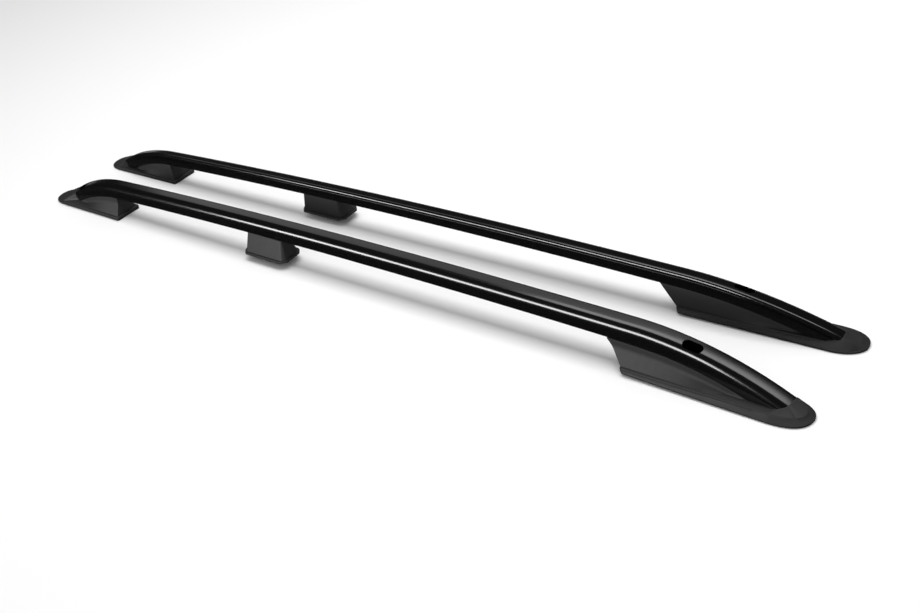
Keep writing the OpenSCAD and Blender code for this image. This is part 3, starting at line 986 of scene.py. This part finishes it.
def eight_sided(length, w0, w1, corner, n=4, r=2.5):
    """A rectangle with cut corners, each corner of it slightly rounded."""
    x0, x1 = -length / 2, length / 2
    corners = [(x0, w0 + corner), (x0 + corner, w0), (x1 - corner, w0), (x1, w0 + corner)]
    corners += [(x1, w1 - corner), (x1 - corner, w1), (x0 + corner, w1), (x0, w1 - corner)]
    out = []
    for k in range(8):
        p, a, b = (np.asarray(corners[j], float) for j in (k, k - 1, (k + 1) % 8))
        out += rounded_corner(p, a, b, min(r, np.linalg.norm(a - p) / 2.2, np.linalg.norm(b - p) / 2.2), n)
    return out


def build_mid_feet():
    line = Line(rail_settings())
    foot = Foot(line)
    f, s = foot.f, foot.s
    plastic = material("foot_plastic")
    mid_x = MID_SHARE * s.length
    lip_top = f.mid_lift + MID_LIP
    half = f.mid_width / 2

    def level(b, z, length, w0, w1, corner):
        return b.ring([(mid_x + x, foot.y + y, z) for x, y in eight_sided(length, w0, w1, corner)])

    b = Builder()
    rings = []
    for z, less, inset, corner in (
        (f.mid_lift, 1.0, 0.5, MID_CORNER),
        (f.mid_lift + 0.5, 0.0, 0.0, MID_CORNER),
        (lip_top - 1.2, 0.0, 0.0, MID_CORNER),
        (lip_top - 0.4, 0.7, 0.35, MID_CORNER),
        (lip_top, 2.4, 1.2, MID_CORNER - 0.5),
        (lip_top, 3.0, 1.5, MID_CORNER - 0.5),
    ):
        rings.append(level(b, z, f.mid_length - less, inset - half, half - inset, corner))
    body = b.capped(rings).done("mid", plastic)

    def box_loft(inset, z0, z1):
        """The tapering box between the lip and the tube."""
        t = Builder()
        base, span = f.mid_lift + 1.0, s.clearance + 2.0 - f.mid_lift - 1.0
        lo = (-(half - 3.5), half - 3.5)
        hi = (FLAT_IN - 0.5, CORNER[0] + 3.0)
        levels = []
        for z in (z0, z1):
            k = (z - base) / span
            w0, w1 = (lo[i] + (hi[i] - lo[i]) * k for i in (0, 1))
            length = f.mid_length - 5 - 16 * k
            levels.append(level(t, z, length - 2 * inset, w0 + inset, w1 - inset, 7 - 4 * k))
        return t.capped(levels).done("box", plastic)

    underside = line.crown_at(mid_x).point[2]
    combine(body, box_loft(0.0, lip_top - 1.0, underside + 1.9))
    cavity = box_loft(FOOT_WALL, f.mid_lift - 2.0, underside - 3.4)
    y0, y1 = foot.y - CUT_REACH, foot.y + CUT_REACH
    ribs = []
    for middle in (mid_x - MID_RIB_PITCH, mid_x, mid_x + MID_RIB_PITCH):
        ribs.append((middle - RIB / 2, middle + RIB / 2, y0, y1, f.mid_lift + 2, -CUT_LOW))
    hollow_out(body, cavity, ribs, line.mid_screws())
    settle(body, "mid_foot_shell", "mid_foot")


def build_gaskets():
    line = Line(rail_settings())
    foot = Foot(line)
    g = foot.f.gasket
    outer = [(1.2, 0.0), (0.8, 0.4), (0.8, g - 0.4), (1.2, g)]
    profile = outer + [(7.6, g), (8.0, g - 0.4), (8.0, 0.4), (7.6, 0.0)]
    for name, outline, lift in (
        ("rear", foot.rear_outline, lambda x: 0.0),
        ("front", foot.front_outline, foot.lift),
    ):
        b = Builder()
        rings = [b.ring([(x, y, z + lift(x)) for x, y in outline(inset)]) for inset, z in profile]
        b.loft(rings + rings[:1])
        ring = b.done("gasket", material("gasket_rubber"))
        settle(ring, f"{name}_gasket_ring", f"{name}_gasket")


# Screws and nuts, set in place by one node group

SCREW_RADIUS, HEAD_RADIUS, HEAD_HEIGHT, RECESS_RADIUS, RECESS_DEPTH = 3.0, 6.0, 3.5, 2.3, 2.0
NUT_RADIUS, NUT_FLANGE_RADIUS, NUT_LOW, NUT_FLANGE_TOP, NUT_HIGH = 4.3, 6.5, -1.25, -0.25, 11.75
THREAD_FROM, THREAD_TO, THREAD_PITCH, THREAD_DEPTH = -3.0, 9.0, 1.0, 0.35
LATHE_SIDES = 48


def repeat_group():
    """A node group that sets a piece on every point, turned as the point says and spun at random."""
    group = bpy.data.node_groups.new("repeat_piece", "GeometryNodeTree")
    sockets = (
        ("Points", "INPUT", "NodeSocketGeometry"),
        ("Piece", "INPUT", "NodeSocketObject"),
        ("Spin", "INPUT", "NodeSocketFloat"),
        ("Seed", "INPUT", "NodeSocketInt"),
        ("Finish", "INPUT", "NodeSocketMaterial"),
        ("Geometry", "OUTPUT", "NodeSocketGeometry"),
    )
    for name, way, kind in sockets:
        group.interface.new_socket(name, in_out=way, socket_type=kind)
    graph = Graph(group)
    given = graph.add("NodeGroupInput").outputs
    piece = graph.add("GeometryNodeObjectInfo", {"Object": given["Piece"]}, transform_space="ORIGINAL")
    stored = graph.add("GeometryNodeInputNamedAttribute", {"Name": "turn"}, data_type="FLOAT_VECTOR")
    turn = graph.add("FunctionNodeEulerToRotation", {0: stored.outputs[0]})
    angle = graph.add("FunctionNodeRandomValue", {3: given["Spin"], "Seed": given["Seed"]}, data_type="FLOAT")
    spin = graph.add("FunctionNodeAxisAngleToRotation", {"Axis": (0, 0, 1), "Angle": angle.outputs[1]})
    turns = {0: turn.outputs[0], 1: spin.outputs[0]}
    both = graph.add("FunctionNodeRotateRotation", turns, rotation_space="LOCAL")
    placed = graph.add(
        "GeometryNodeInstanceOnPoints",
        {"Points": given["Points"], "Instance": piece.outputs["Geometry"], "Rotation": both.outputs[0]},
    )
    real = graph.add("GeometryNodeRealizeInstances", {"Geometry": placed.outputs[0]})
    dressed = graph.add("GeometryNodeSetMaterial", {"Geometry": real.outputs[0], "Material": given["Finish"]})
    graph.add("NodeGroupOutput", {"Geometry": dressed.outputs[0]})
    return group


def lathe(name, profile, finish, closed=False):
    """Turns rings of (radius, height) round the upright axis; a negative radius makes a six-sided ring."""
    b = Builder()
    half = rail_settings().length / 2
    rings = []
    for radius, height in profile:
        points = []
        for t in np.linspace(0, 2 * math.pi, LATHE_SIDES, endpoint=False):
            r = radius
            if radius < 0:
                r = -radius * math.cos(math.pi / 6) / math.cos(t % (math.pi / 3) - math.pi / 6)
            points.append((half + r * math.cos(t), r * math.sin(t), height))
        rings.append(b.ring(points))
    if closed:
        b.loft(rings + rings[:1])
    else:
        b.capped(rings)
    return b.done(name, finish)


def screw_piece():
    low = -BOSS_LENGTH - HEAD_HEIGHT
    profile = [
        (-RECESS_RADIUS, low + RECESS_DEPTH),
        (-RECESS_RADIUS, low),
        (HEAD_RADIUS - 0.6, low),
        (HEAD_RADIUS, low + 0.6),
        (HEAD_RADIUS, -BOSS_LENGTH),
        (SCREW_RADIUS, -BOSS_LENGTH),
    ]
    for height in np.arange(THREAD_FROM, THREAD_TO, THREAD_PITCH):
        profile.append((SCREW_RADIUS, height))
        profile.append((SCREW_RADIUS - THREAD_DEPTH, height + THREAD_PITCH / 2))
    profile += [(SCREW_RADIUS, THREAD_TO), (SCREW_RADIUS - 0.8, THREAD_TO + 1.0)]
    return lathe("screw", profile, material("zinc_steel"))


def nut_piece():
    edge = 0.3
    profile = [
        (SCREW_RADIUS, NUT_LOW),
        (NUT_FLANGE_RADIUS - edge, NUT_LOW),
        (NUT_FLANGE_RADIUS, NUT_LOW + edge),
        (NUT_FLANGE_RADIUS, NUT_FLANGE_TOP - edge),
        (NUT_FLANGE_RADIUS - edge, NUT_FLANGE_TOP),
        (NUT_RADIUS, NUT_FLANGE_TOP),
        (NUT_RADIUS, NUT_HIGH - edge),
        (NUT_RADIUS - edge, NUT_HIGH),
        (SCREW_RADIUS, NUT_HIGH),
    ]
    return lathe("nut", profile, material("plated_insert"), closed=True)


def repeated(group, piece, stations, finish):
    """An object with the piece at each station, made real by the node group."""
    half = rail_settings().length / 2
    places = [station.place(SCREW_SIDE, 0.0) for station in stations]
    mesh = bpy.data.meshes.new("repeated")
    mesh.from_pydata([((p[0] - half) * MM, p[1] * MM, p[2] * MM) for p in places], [], [])
    turns = mesh.attributes.new("turn", "FLOAT_VECTOR", "POINT")
    for item, station in zip(turns.data, stations):
        item.vector = Matrix(station.turn.tolist()).to_euler("XYZ")[:]
    obj = bpy.data.objects.new("repeated", mesh)
    bpy.context.scene.collection.objects.link(obj)
    given = {"Piece": piece, "Spin": math.pi / 3, "Seed": foot_settings().spin_seed, "Finish": finish}
    mod = obj.modifiers.new("Repeat", "NODES")
    mod.node_group = group
    for socket in group.interface.items_tree:
        if socket.in_out == "INPUT" and socket.name in given:
            mod[socket.identifier] = given[socket.name]
    apply_modifiers(obj)
    return obj


def build_fasteners():
    line = Line(rail_settings())
    group = repeat_group()
    spots = {"rear": line.rear_screws(), "mid": line.mid_screws(), "front": line.front_screws()}
    for kind, make, slot in (("screws", screw_piece, "zinc_steel"), ("nuts", nut_piece, "plated_insert")):
        piece = make()
        for place, stations in spots.items():
            made = repeated(group, piece, stations, material(slot))
            settle(made, f"{place}_{kind}_set", f"{place}_{kind}")
        bpy.data.objects.remove(piece, do_unlink=True)


def color_frame(frame):
    """Gives every node of the frame the material of its kind."""
    kinds = {
        "tube": "tube_paint",
        "foot": "foot_plastic",
        "gasket": "gasket_rubber",
        "sleeve": "zinc_steel",
        "screws": "zinc_steel",
        "nuts": "plated_insert",
    }
    for name, obj in frame["nodes"].items():
        kind = name.rsplit("_", 1)[-1]
        obj.data.materials.clear()
        obj.data.materials.append(material(kinds[kind]))


# Stage

CAMERA_AT = (1442.14, -1123.96, 1039.73)
CAMERA_TURN = (55.681, 12.2955, 39.4056)
FLOOR_REACH, FLOOR_WHITE = 12.0, (0.9, 0.9, 0.9, 1)
AMBIENT, REFLECTED = 0.6, 0.015


def floor_material():
    """White to the eye; in reflections it is dark in front of the rails and bright behind them."""
    mat = bpy.data.materials.new("floor_white")
    mat.use_nodes = True
    graph = Graph(mat.node_tree)
    surface = graph.tree.nodes["Principled BSDF"]
    surface.inputs["Base Color"].default_value = FLOOR_WHITE
    surface.inputs["Roughness"].default_value = 1.0
    surface.inputs["Specular IOR Level"].default_value = 0.0
    coords = graph.add("ShaderNodeTexCoord").outputs["Object"]
    across = graph.add("ShaderNodeSeparateXYZ", {"Vector": coords}).outputs["Y"]
    span = {"From Min": -0.05, "From Max": 0.9, "To Min": 0.02, "To Max": 0.9, "Value": across}
    ramp = graph.add("ShaderNodeMapRange", span, interpolation_type="SMOOTHSTEP")
    glow = graph.add("ShaderNodeEmission", {"Color": ramp.outputs["Result"]})
    glossy = graph.add("ShaderNodeLightPath").outputs["Is Glossy Ray"]
    mix = graph.add("ShaderNodeMixShader", {0: glossy, 1: surface.outputs[0], 2: glow.outputs[0]})
    graph.link(mix.outputs[0], graph.tree.nodes["Material Output"].inputs["Surface"])
    return mat


def studio_world(ambient, reflected):
    """White to the camera, one strength for soft light and another for reflections."""
    world = bpy.data.worlds.new("studio")
    world.use_nodes = True
    graph = Graph(world.node_tree)
    graph.tree.nodes.clear()
    path = graph.add("ShaderNodeLightPath")

    def glow(strength):
        return graph.add("ShaderNodeBackground", {"Color": (1, 1, 1, 1), "Strength": strength}).outputs[0]

    shader = glow(ambient)
    for strength, ray in ((reflected, "Is Glossy Ray"), (1.0, "Is Camera Ray")):
        pair = {0: path.outputs[ray], 1: shader, 2: glow(strength)}
        shader = graph.add("ShaderNodeMixShader", pair).outputs[0]
    graph.add("ShaderNodeOutputWorld", {"Surface": shader})
    return world


def build_stage():
    st = stage_settings()
    scene = bpy.context.scene
    scene.view_settings.view_transform = "Standard"

    floor_mesh = bpy.data.meshes.new("floor")
    e = FLOOR_REACH
    floor_mesh.from_pydata([(-e, -e, 0), (e, -e, 0), (e, e, 0), (-e, e, 0)], [], [(0, 1, 2, 3)])
    floor = bpy.data.objects.new("floor", floor_mesh)
    scene.collection.objects.link(floor)
    floor_mesh.materials.append(floor_material())

    def area(name, at, turn, size, size_y, power, diffuse=True):
        data = bpy.data.lights.new(name, "AREA")
        data.shape = "RECTANGLE"
        data.size, data.size_y, data.energy = size, size_y, power
        lamp = bpy.data.objects.new(name, data)
        lamp.location = at
        lamp.rotation_euler = [math.radians(v) for v in turn]
        lamp.visible_diffuse = diffuse
        scene.collection.objects.link(lamp)

    area("key", (0.2, 0.45, 2.7), (-9.0, 0.0, 0.0), 3.0, 1.4, st.key_power)
    area("strip", (-1.1, -1.77, 0.69), (70.0, 0.0, 0.0), 2.8, 0.6, st.strip_power, diffuse=False)
    area("back", (-1.2, 0.95, 1.3), (-36.0, 0.0, 0.0), 3.4, 0.8, st.back_power, diffuse=False)
    scene.world = studio_world(AMBIENT, REFLECTED)

    cam_data = bpy.data.cameras.new("camera")
    cam_data.sensor_width = 36.0
    cam_data.lens = st.focal
    cam_data.clip_start, cam_data.clip_end = 0.05, 50.0
    camera = bpy.data.objects.new("camera", cam_data)
    camera.location = [v * MM for v in CAMERA_AT]
    camera.rotation_euler = Euler([math.radians(v) for v in CAMERA_TURN], "XYZ")
    scene.collection.objects.link(camera)
    scene.camera = camera


# Operators and panel


class RAILS_OT_materials(bpy.types.Operator):
    """Makes the materials and gives them to the frame's pieces"""

    bl_idname = "rails.materials"
    bl_label = "Make Materials"

    def execute(self, context):
        make_materials()
        color_frame(FRAME)
        return {"FINISHED"}


class RAILS_OT_tubes(bpy.types.Operator):
    """Builds the two smooth tubes"""

    bl_idname = "rails.tubes"
    bl_label = "Build Tubes"

    def execute(self, context):
        build_tubes()
        return {"FINISHED"}


class RAILS_OT_rear_feet(bpy.types.Operator):
    """Builds the two rear feet"""

    bl_idname = "rails.rear_feet"
    bl_label = "Build Rear Feet"

    def execute(self, context):
        build_rear_feet()
        return {"FINISHED"}


class RAILS_OT_front_feet(bpy.types.Operator):
    """Builds the two front feet"""

    bl_idname = "rails.front_feet"
    bl_label = "Build Front Feet"

    def execute(self, context):
        build_front_feet()
        return {"FINISHED"}


class RAILS_OT_mid_feet(bpy.types.Operator):
    """Builds the two middle feet"""

    bl_idname = "rails.mid_feet"
    bl_label = "Build Middle Feet"

    def execute(self, context):
        build_mid_feet()
        return {"FINISHED"}


class RAILS_OT_gaskets(bpy.types.Operator):
    """Builds the rubber rings under the end feet"""

    bl_idname = "rails.gaskets"
    bl_label = "Build Gaskets"

    def execute(self, context):
        build_gaskets()
        return {"FINISHED"}


class RAILS_OT_fasteners(bpy.types.Operator):
    """Builds the screws and nuts that hold the feet"""

    bl_idname = "rails.fasteners"
    bl_label = "Build Fasteners"

    def execute(self, context):
        build_fasteners()
        return {"FINISHED"}


class RAILS_OT_stage(bpy.types.Operator):
    """Sets the floor, the lights and the camera"""

    bl_idname = "rails.stage"
    bl_label = "Set Stage"

    def execute(self, context):
        build_stage()
        return {"FINISHED"}


STEPS = (
    "rails.materials",
    "rails.tubes",
    "rails.rear_feet",
    "rails.mid_feet",
    "rails.front_feet",
    "rails.gaskets",
    "rails.fasteners",
    "rails.stage",
)


class RAILS_PT_panel(bpy.types.Panel):
    """Panel with the sizes and the build steps"""

    bl_idname = "RAILS_PT_panel"
    bl_label = "Roof Side Rails"
    bl_space_type = "VIEW_3D"
    bl_region_type = "UI"
    bl_category = "Rails"

    def draw(self, context):
        for settings in (rail_settings(), foot_settings(), look_settings(), stage_settings()):
            column = self.layout.column(align=True)
            for key in settings.bl_rna.properties.keys():
                if key not in {"rna_type", "name"}:
                    column.prop(settings, key)
        for step in STEPS:
            self.layout.operator(step)


CLASSES = (
    RailSettings,
    FootSettings,
    LookSettings,
    StageSettings,
    RAILS_OT_materials,
    RAILS_OT_tubes,
    RAILS_OT_rear_feet,
    RAILS_OT_mid_feet,
    RAILS_OT_front_feet,
    RAILS_OT_gaskets,
    RAILS_OT_fasteners,
    RAILS_OT_stage,
    RAILS_PT_panel,
)


def register():
    for cls in CLASSES:
        bpy.utils.register_class(cls)
    bpy.types.Scene.rail_settings = PointerProperty(type=RailSettings)
    bpy.types.Scene.foot_settings = PointerProperty(type=FootSettings)
    bpy.types.Scene.look_settings = PointerProperty(type=LookSettings)
    bpy.types.Scene.stage_settings = PointerProperty(type=StageSettings)


def unregister():
    del bpy.types.Scene.stage_settings
    del bpy.types.Scene.look_settings
    del bpy.types.Scene.foot_settings
    del bpy.types.Scene.rail_settings
    for cls in reversed(CLASSES):
        bpy.utils.unregister_class(cls)


FRAME = {}


def main():
    FRAME.update(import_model())
    bpy.ops.rails.materials()
    bpy.ops.rails.tubes()
    bpy.ops.rails.rear_feet()
    bpy.ops.rails.mid_feet()
    bpy.ops.rails.front_feet()
    bpy.ops.rails.gaskets()
    bpy.ops.rails.fasteners()
    bpy.ops.rails.stage()


if __name__ == "__main__":
    register()
    main()
